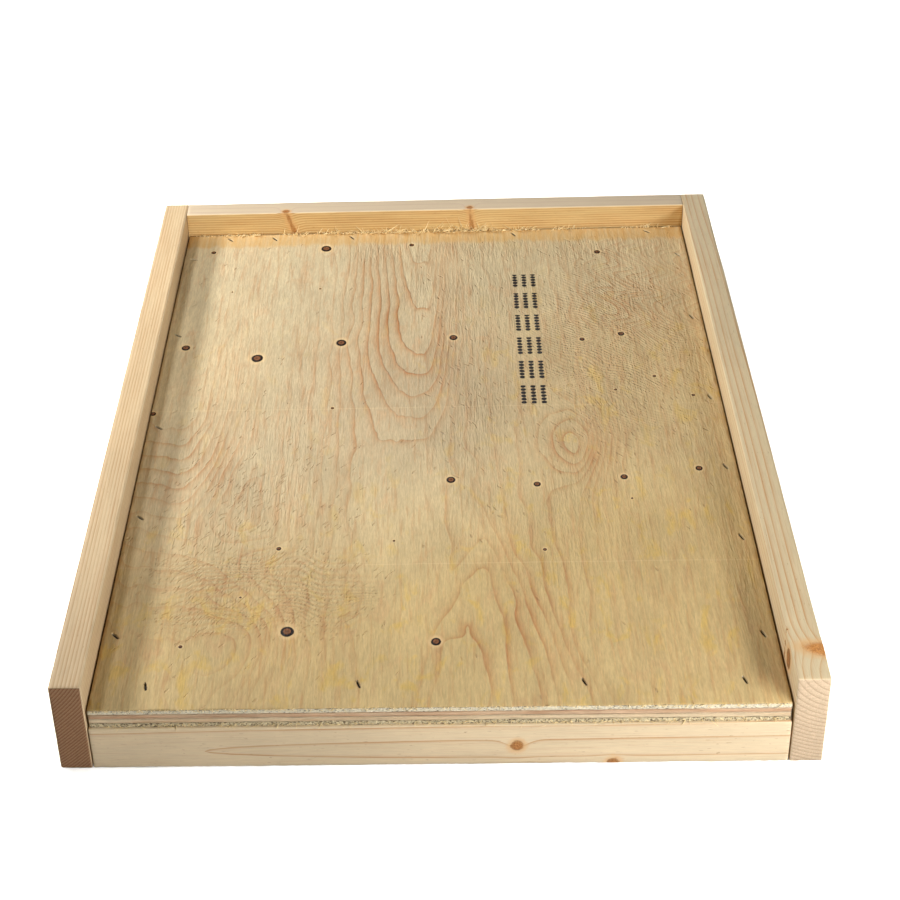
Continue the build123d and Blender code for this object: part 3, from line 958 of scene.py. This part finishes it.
core_fields = {
    "rings": core_rings, "figure": steady(0.8), "rough": steady(0.4), "dull": steady(0.3),
    "bark": steady(1),
}
for node, material in (("upper", upper_veneer), ("lower", lower_veneer)):
    board(
        f"deck_core_ply_{node}", (1.65, 1.65, 0.6), material, core_fields,
        core_relief, plain=((UP, -1), (UP, 1)), arris=0.6,
    )


def back_ply_relief(points, axis, side):
    if axis == ALONG:
        rough = 0.5 * waves(points, (0.8, 9, 0.8), 74) + 0.3 * waves(points, (2.6, 9, 2), 75)
        return rough - 0.2
    return 0.1 * waves(points, (4, 30, 4), 76)


back_fields = {
    "rings": deck_rings, "figure": steady(0.5), "rough": steady(0.9), "dull": steady(0.2),
    "bark": steady(1),
}
board(
    "deck_back_ply", (1.65, 4.0, 0.6), back_veneer, back_fields, back_ply_relief,
    plain=((UP, 1),), arris=0.6,
)

# ---------------------------------------------------------------- loose fibres


def sliver(root, tip, width, bend, rng):
    """A closed three-sided splinter that tapers from its root to its tip."""
    root, tip = np.array(root), np.array(tip)
    axis = tip - root
    side = np.cross(axis, rng.normal(size=3))
    side /= np.linalg.norm(side)
    other = np.cross(axis, side)
    other /= np.linalg.norm(other)
    points, rings = [], 4
    for ring in range(rings):
        t = ring / rings
        middle = root + axis * t + bend * math.sin(t * math.pi / 2) * side
        size = width * (1 - t) ** 0.7 / 2
        for turn in range(3):
            angle = turn * 2 * math.pi / 3
            across = math.cos(angle) * side + 0.6 * math.sin(angle) * other
            points.append(middle + size * across)
    points.append(tip + bend * side)
    faces = [(2, 1, 0)]
    for a in range(0, 3 * (rings - 1), 3):
        faces += [(a + i, a + (i + 1) % 3, a + 3 + (i + 1) % 3, a + 3 + i) for i in range(3)]
    last = (rings - 1) * 3
    faces += [(last + i, last + (i + 1) % 3, last + 3) for i in range(3)]
    return points, faces


def tuft(name, slivers, material):
    """Many splinters as one piece."""
    points, faces = [], []
    for new_points, new_faces in slivers:
        base = len(points)
        points += new_points
        faces += [tuple(base + i for i in face) for face in new_faces]
    return make_piece(name, np.array(points), faces, material)


def back_fuzz():
    """Fibres torn up where the deck meets the back rail, thickest left of the middle."""
    rng = np.random.default_rng(21)
    _, junction, _ = DECK_HIGH
    made = []
    for _ in range(1500):
        x = rng.uniform(24, 388)
        patchy = waves(np.array([[x, 0, 0]]), (16, 9, 9), 22)[0]
        thick = 0.22 + 0.75 * math.exp(-(((x - 205) / 70) ** 2)) + 0.35 * patchy
        if rng.random() > thick:
            continue
        length = rng.gamma(2.0, 1.3) * (0.7 + thick) + 1.0
        root = spot(x, 0, DECK_TOP - 0.3) * (1, 0, 1) + (0, junction - rng.uniform(-0.1, 2.2), 0)
        way = np.array((rng.normal(0, 0.5), rng.uniform(-0.9, 0.1), rng.uniform(0.25, 0.9)))
        width = rng.uniform(0.6, 1.4)
        made.append(sliver(root, root + way * length, width, rng.normal(0, 0.35), rng))
    return made


def front_fuzz():
    """Short fibres along the deck's front edge, mostly off the face and the bottom ply."""
    rng = np.random.default_rng(22)
    bottom = corners("deck_back_ply")[0][UP]
    made = []
    for _ in range(900):
        low = rng.random() < 0.55
        z = bottom + rng.uniform(0.0, 2.2) if low else DECK_TOP - rng.uniform(-0.1, 1.0)
        length = min(rng.gamma(2.0, 0.9 if low else 0.6) + 0.5, 4.0)
        root = spot(rng.uniform(20, 392), 1.8, z)
        way = np.array((rng.normal(0, 0.8), -rng.uniform(0.2, 0.8), rng.uniform(-0.6, 0.3)))
        width = rng.uniform(0.4, 0.9)
        made.append(sliver(root, root + way * length, width, rng.normal(0, 0.2), rng))
    return made


def saw_hairs(face, start, end, count, longest, seed):
    """Fine hairs that the saw left along an edge, pointing out of a side face."""
    rng = np.random.default_rng(seed)
    made = []
    for _ in range(count):
        root = start + (end - start) * rng.random()
        out = np.array((face, 0, 0)) * rng.uniform(0.3, 1.0)
        way = out + rng.normal(0, 0.35, 3)
        length = rng.gamma(2.0, longest / 5) + 0.5
        made.append(sliver(root, root + way * length, rng.uniform(0.14, 0.26), 0.3, rng))
    return made


pale_fibre = fibre("pale_fibre", linear(244, 214, 150), linear(255, 240, 198))
hair_fibre = fibre("hair_fibre", linear(206, 200, 190), linear(238, 232, 222))
tuft("deck_back_fibres", back_fuzz(), pale_fibre)
tuft("deck_front_fibres", front_fuzz(), pale_fibre)
right_edge = RIGHT[1] - (0.5, 0, 0.6)
right_front = np.array((right_edge[0], FLOOR_FRONT, right_edge[2]))
hairs = saw_hairs(1, right_front + (0, 14, 0), right_front + (0, 78, -3), 90, 4.5, 23)
hairs += saw_hairs(1, right_front + (0, 0.6, -12), right_front + (0, 0.6, -30), 24, 2.0, 24)
tuft("rail_right_hairs", hairs, hair_fibre)
left_front = np.array((LEFT[0][0] + 0.5, FLOOR_FRONT + 0.6, 0))
hairs = saw_hairs(-1, left_front + (0, 0, 2), left_front + (0, 0, 50), 70, 2.6, 25)
tuft("rail_left_hairs", hairs, hair_fibre)

# ---------------------------------------------------------------- staples keep their CAD shape

staple_steel = steel("staple_steel")
for name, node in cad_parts.items():
    if "staples" in name:
        node.data.materials.clear()
        node.data.materials.append(staple_steel)

# ---------------------------------------------------------------- floor, light and camera


def floor():
    s = Shader("pale_floor")
    tone = s.noise((900, 900, 900), 2)
    pale = s.mix(tone, linear(248, 248, 247), linear(252, 252, 252))
    seen = s.node("ShaderNodeLightPath").outputs["Is Camera Ray"]
    colour = s.mix(seen, linear(130, 128, 125), pale)  # throws little light back up
    material = s.surface(colour, 0.9, tone, specular=0.1)
    bpy.ops.mesh.primitive_plane_add(size=14, location=(0, 0, -0.0004))
    made = bpy.context.object
    made.name = "floor"
    made.data.materials.append(material)
    return made


def soft_light(name, position, size, power):
    """A square soft box that faces the middle of the object."""
    data = bpy.data.lights.new(name, "AREA")
    data.size = size
    data.energy = power
    made = bpy.data.objects.new(name, data)
    made.location = position
    made.rotation_euler = (-Vector(position)).to_track_quat("-Z", "Y").to_euler()
    made.visible_camera = False
    bpy.context.scene.collection.objects.link(made)


def floor_light(receiver, strength):
    """An even light from above that only the floor receives, so that it stays pale."""
    data = bpy.data.lights.new("floor_wash", "SUN")
    data.energy = strength
    data.angle = math.radians(60)
    made = bpy.data.objects.new("floor_wash", data)
    bpy.context.scene.collection.objects.link(made)
    receivers = bpy.data.collections.new("floor_only")
    receivers.objects.link(receiver)
    made.light_linking.receiver_collection = receivers


def spot_light(name, position, target, beam, power, colour):
    """A soft-edged spot. The beam is its whole angle in degrees."""
    data = bpy.data.lights.new(name, "SPOT")
    data.color = colour
    data.shadow_soft_size = 0.08
    data.spot_size = math.radians(beam)
    data.spot_blend = 1.0
    data.energy = power
    made = bpy.data.objects.new(name, data)
    made.location = position
    aim = Vector(target) - Vector(position)
    made.rotation_euler = aim.to_track_quat("-Z", "Y").to_euler()
    bpy.context.scene.collection.objects.link(made)


# Two lamps stand level with the back left corner, where the left rail shades the deck but
# the back rail doesn't. Two face the front right corner, one is far behind, and a warm spot
# lights the back rail.
floor_light(floor(), 3.1)
soft_light("left_low_lamp", (-0.89, 0.25, 0.51), 0.16, 9.2)
soft_light("left_high_lamp", (-0.56, 0.25, 0.76), 0.14, 2.9)
soft_light("front_low_lamp", (0.5, -0.85, 0.3), 0.2, 4.6)
soft_light("front_right_lamp", (0.4, -0.47, 0.22), 0.12, 0.8)
soft_light("behind_lamp", (0.4, 1.6, 0.12), 0.5, 7.0)
spot_light("back_rail_spot", (0.35, -1.3, 1.0), (-0.06, 0.26, 0.04), 26, 43,
           (1, 0.95, 0.84))

# The room's fill light is dim and warm, but the camera sees a pale backdrop
world = bpy.data.worlds.new("studio")
world.use_nodes = True
room = world.node_tree
backdrop = room.nodes["Background"]
seen = room.nodes.new("ShaderNodeLightPath").outputs["Is Camera Ray"]
tint = room.nodes.new("ShaderNodeMix")
tint.data_type = "RGBA"
tint.inputs[6].default_value = (0.045, 0.037, 0.02, 1)
tint.inputs[7].default_value = (0.9, 0.9, 0.9, 1)
room.links.new(seen, tint.inputs[0])
room.links.new(tint.outputs[2], backdrop.inputs[0])
bpy.context.scene.world = world
bpy.context.scene.view_settings.view_transform = "Standard"

SENSOR = 36.0
camera = bpy.data.objects.new("camera", bpy.data.cameras.new("camera"))
camera.data.sensor_width = SENSOR
camera.data.lens = 76.7
camera.data.shift_x = 0.085
camera.data.shift_y = -0.031
camera.data.clip_end = 50
turn = Matrix.Rotation(math.radians(2.676), 4, "Z")
tilt = Matrix.Rotation(math.radians(90 - 33.515), 4, "X")
roll = Matrix.Rotation(math.radians(-2.449), 4, "Z")
camera.matrix_world = Matrix.Translation((0.00844, -1.04443, 0.73105)) @ turn @ tilt @ roll
bpy.context.scene.collection.objects.link(camera)
bpy.context.scene.camera = camera
